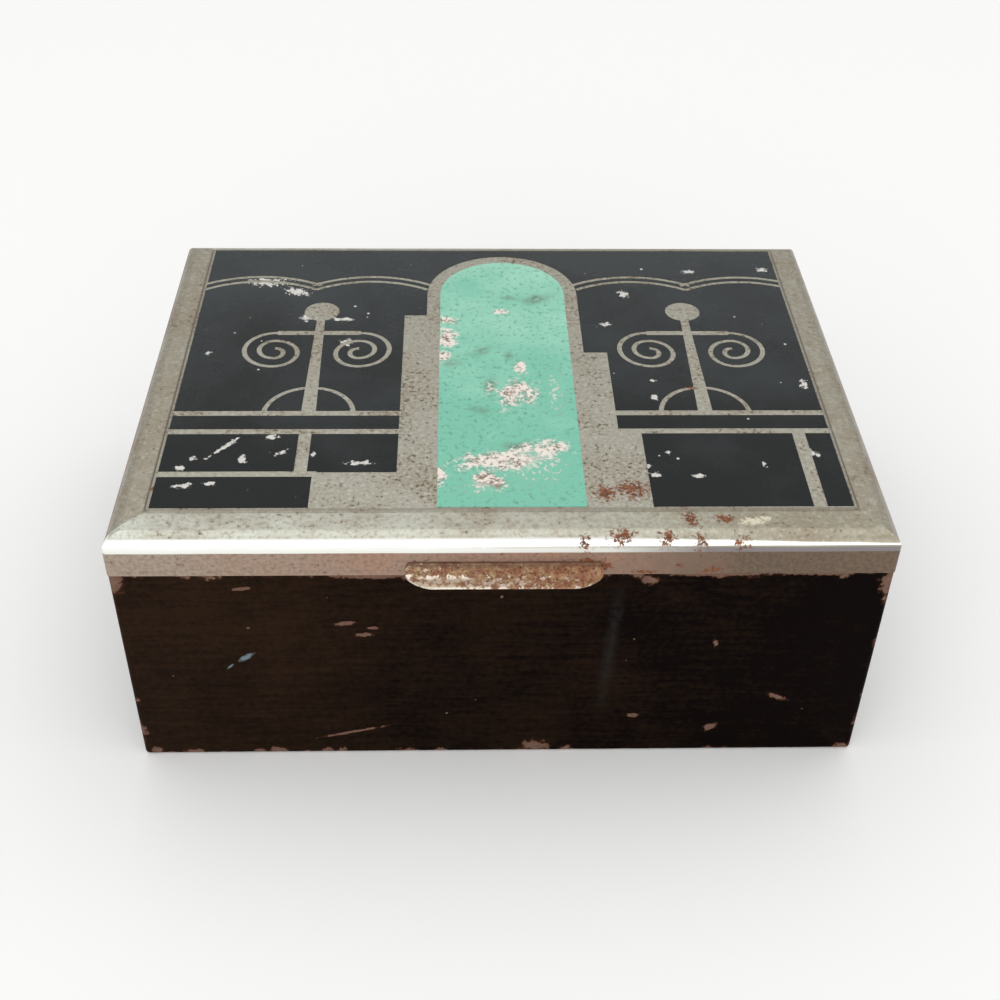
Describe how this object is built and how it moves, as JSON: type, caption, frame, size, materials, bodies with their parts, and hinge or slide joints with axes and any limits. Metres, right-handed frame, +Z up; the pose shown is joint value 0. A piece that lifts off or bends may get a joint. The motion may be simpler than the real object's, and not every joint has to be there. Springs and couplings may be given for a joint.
{
  "type": "hinged tin box",
  "caption": "Low rectangular tinplate box with a hinged, round-edged lid, a raised printed panel and a thumb lift; an inner neck locates the lid and a wire hinge joins it at the back.",
  "frame": {"origin": "on the table under the middle of the box, at the centre of the ring that it stands on", "axes": "+X to the right along the longer side, -Y out of the front with the thumb lift, +Z up"},
  "size_m": [0.14, 0.1082, 0.056],
  "materials": {
    "japanned_wall": "dark brown-black japan, worn and chipped at the edges",
    "tinned_lid": "bare tinned steel, dulled, with rust and scratches",
    "inner_tinplate": "bare tinplate, greyed",
    "hinge_steel": "tinned steel strip and wire, darkened",
    "lift_tin": "tinned steel, rusted to a brown gold"
  },
  "bodies": {
    "box": {"body_wall": "japanned_wall", "base_pan": "inner_tinplate", "neck_collar": "inner_tinplate", "hinge_leaf_body": "hinge_steel", "hinge_wire": "hinge_steel"},
    "lid": {"lid_pan": "tinned_lid", "hinge_leaf_lid": "hinge_steel", "thumb_lift": "lift_tin"}
  },
  "joints": [
    {"name": "lid_hinge", "type": "hinge", "parent": "box", "child": "lid", "pos_m": [0, 0.05033, 0.0475], "axis": [-1, 0, 0], "range_deg": [0, 105]}
  ]
}
